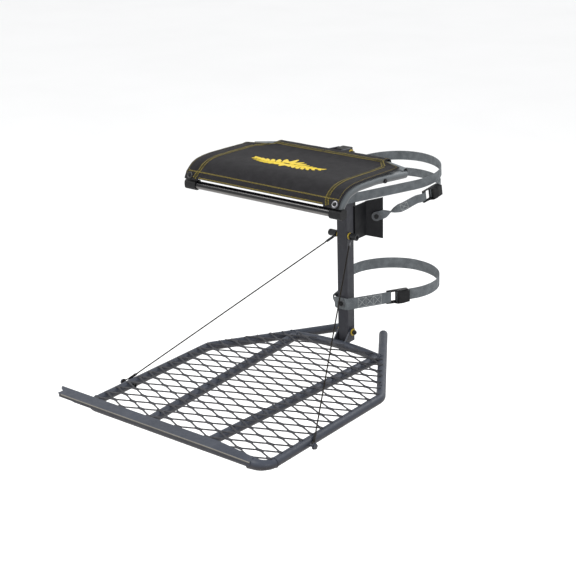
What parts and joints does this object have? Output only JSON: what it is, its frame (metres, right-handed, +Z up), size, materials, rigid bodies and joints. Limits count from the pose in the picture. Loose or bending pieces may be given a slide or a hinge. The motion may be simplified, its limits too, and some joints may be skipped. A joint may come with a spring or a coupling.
{
  "type": "hang-on tree stand",
  "caption": "Folding hang-on tree stand: a post strapped to a trunk, a cable-hung mesh deck with a foot bar, and a flip-up fabric seat.",
  "frame": {"origin": "on the trunk's axis, level with the middle of the lower strap", "axes": "+Z up along the trunk, -Y away from the trunk towards the front of the deck, +X to the sitter's left"},
  "size_m": [0.7534, 1.1403, 0.605],
  "materials": {
    "deck_paint": "satin powder coat",
    "seat_grey_paint": "satin powder coat",
    "gloss_black_paint": "gloss",
    "black_steel": "satin black oxide",
    "bare_steel": "bright",
    "zinc_plate": "yellow zinc plate",
    "black_plastic": "moulded",
    "coated_cable": "plastic coated wire rope",
    "webbing": "woven polyester webbing",
    "seat_cloth": "woven pack cloth"
  },
  "bodies": {
    "mast": {"post_tube": "deck_paint", "post_cap": "black_plastic", "tree_bracket": "deck_paint", "strap_bolts": "black_steel", "strap_washers": "seat_grey_paint", "lower_strap_long": "webbing", "lower_strap_short": "webbing", "lower_buckle_frame": "black_steel", "lower_buckle_pin": "bare_steel", "upper_strap_long": "webbing", "upper_strap_short": "webbing", "upper_strap_second_turn": "webbing", "upper_buckle_frame": "black_steel", "upper_buckle_pin": "bare_steel", "deck_pivot_bolt": "black_steel", "deck_pivot_nut": "black_steel", "deck_pivot_washers": "zinc_plate", "seat_pivot_bolt": "black_steel", "seat_pivot_nut": "black_steel", "seat_pivot_washers": "zinc_plate", "cable_bolt": "black_steel", "cable_bolt_spacers": "bare_steel", "cable_bolt_washers": "zinc_plate", "cable_eyes_upper": "bare_steel"},
    "deck": {"deck_rail_left": "deck_paint", "deck_rail_right": "deck_paint", "deck_front_tube": "deck_paint", "deck_cross_tube": "deck_paint", "deck_slat_left": "deck_paint", "deck_slat_right": "deck_paint", "foot_bar": "deck_paint", "deck_mesh": "deck_paint", "deck_hinge_ears": "deck_paint", "cable_anchor_bolts": "black_steel", "cable_anchor_nuts": "black_steel", "cable_eyes_lower": "black_plastic", "suspension_cable_left": "coated_cable", "suspension_cable_right": "coated_cable"},
    "seat": {"seat_rail_left": "seat_grey_paint", "seat_rail_right": "seat_grey_paint", "seat_front_tube": "gloss_black_paint", "seat_back_tube": "seat_grey_paint", "seat_corner_clamps": "black_plastic", "seat_hinge_bracket": "deck_paint", "seat_fabric": "seat_cloth", "seat_grommets": "bare_steel", "seat_grommet_screws": "black_steel", "seat_side_bolts": "black_steel"},
    "lower_cam": {"lower_buckle_cam": "black_steel"},
    "upper_cam": {"upper_buckle_cam": "black_steel"}
  },
  "joints": [
    {"name": "deck_fold", "type": "hinge", "parent": "mast", "child": "deck", "pos_m": [0, -0.2319, -0.091], "axis": [-1, 0, 0], "range_deg": [0, 48], "deforming": ["suspension_cable_left", "suspension_cable_right"]},
    {"name": "seat_fold", "type": "hinge", "parent": "mast", "child": "seat", "pos_m": [0, -0.2319, 0.442], "axis": [-1, 0, 0], "range_deg": [0, 85]},
    {"name": "lower_cam_open", "type": "hinge", "parent": "mast", "child": "lower_cam", "pos_m": [0.10597, -0.11462, 0.0005], "axis": [0, 0, -1], "range_deg": [0, 40]},
    {"name": "upper_cam_open", "type": "hinge", "parent": "mast", "child": "upper_cam", "pos_m": [0.15149, -0.00996, 0.29394], "axis": [0.0163, 0.1556, -0.9877], "range_deg": [0, 40]}
  ]
}
